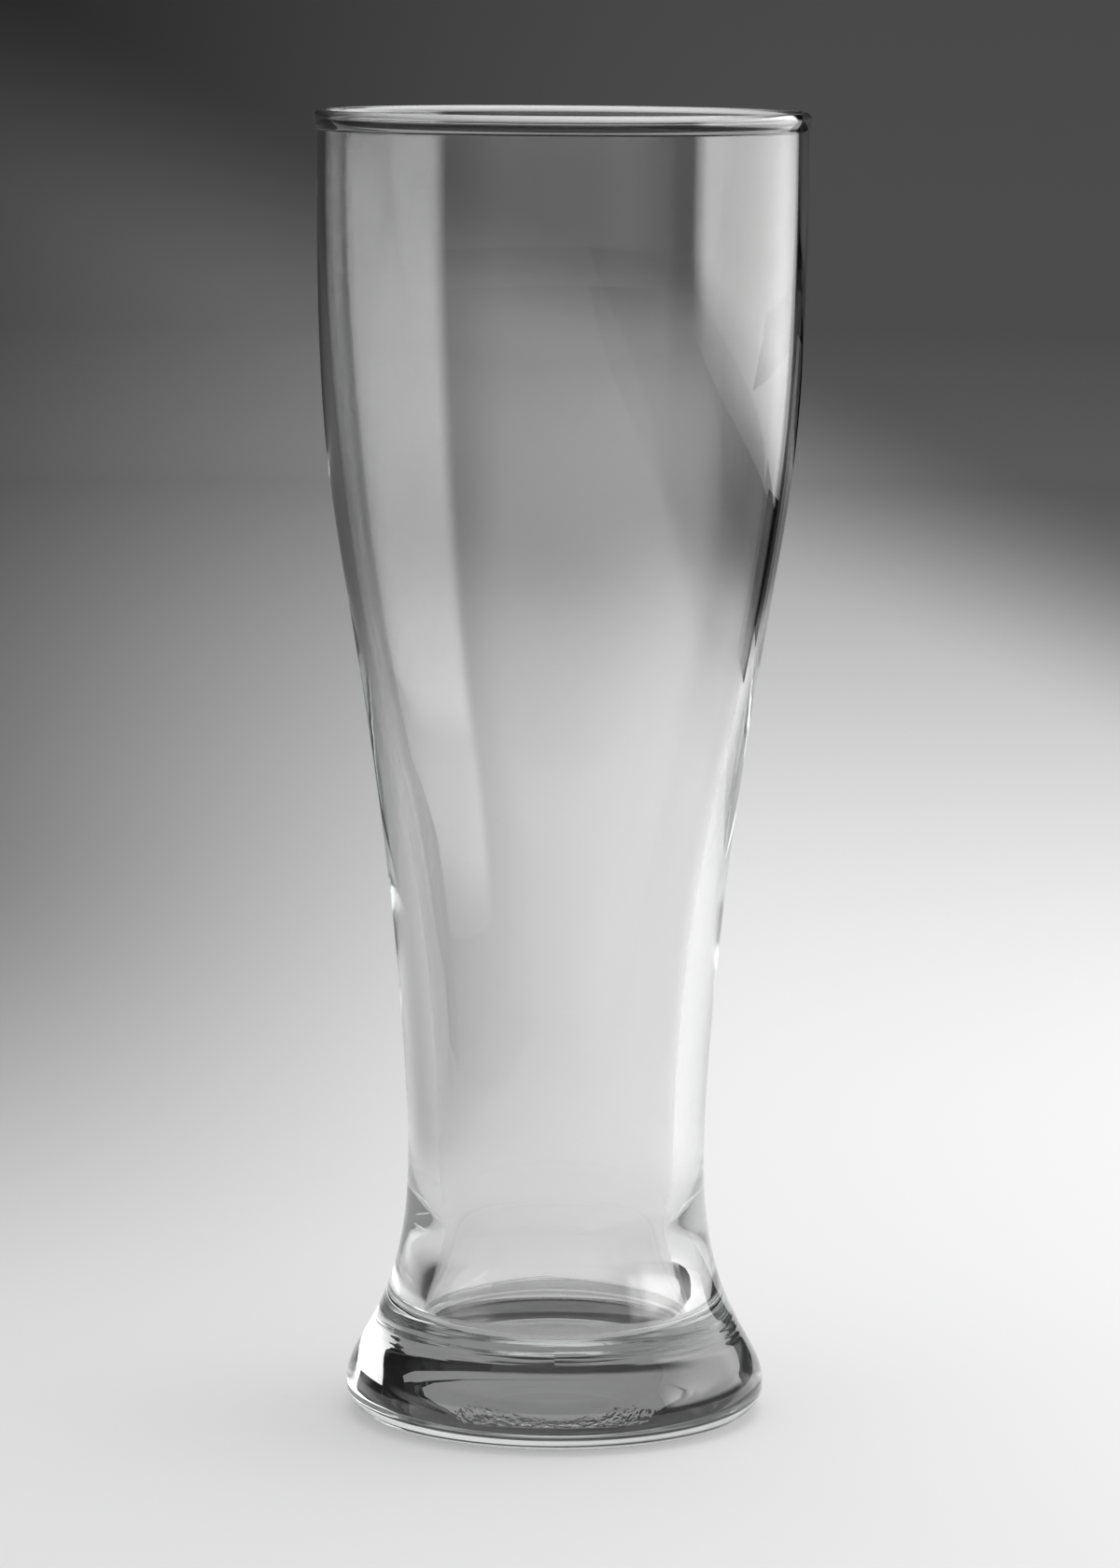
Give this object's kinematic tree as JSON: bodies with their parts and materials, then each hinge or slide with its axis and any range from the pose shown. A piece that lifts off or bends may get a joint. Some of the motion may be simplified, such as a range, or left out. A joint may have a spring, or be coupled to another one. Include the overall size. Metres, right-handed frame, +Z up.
{
  "type": "pilsner glass",
  "caption": "Tall clear drinking glass with a rolled rim, a bowl that swells above a narrow waist, and a heavy flared foot that it stands on.",
  "frame": {"origin": "on the table, under the middle of the foot", "axes": "+Z up along the axis of the glass, from the foot to the rim"},
  "size_m": [0.0828, 0.0828, 0.22],
  "materials": {
    "clear_glass": "fire-polished clear soda-lime glass"
  },
  "bodies": {
    "root": {"rim": "clear_glass", "bowl": "clear_glass", "foot": "clear_glass"}
  },
  "joints": []
}
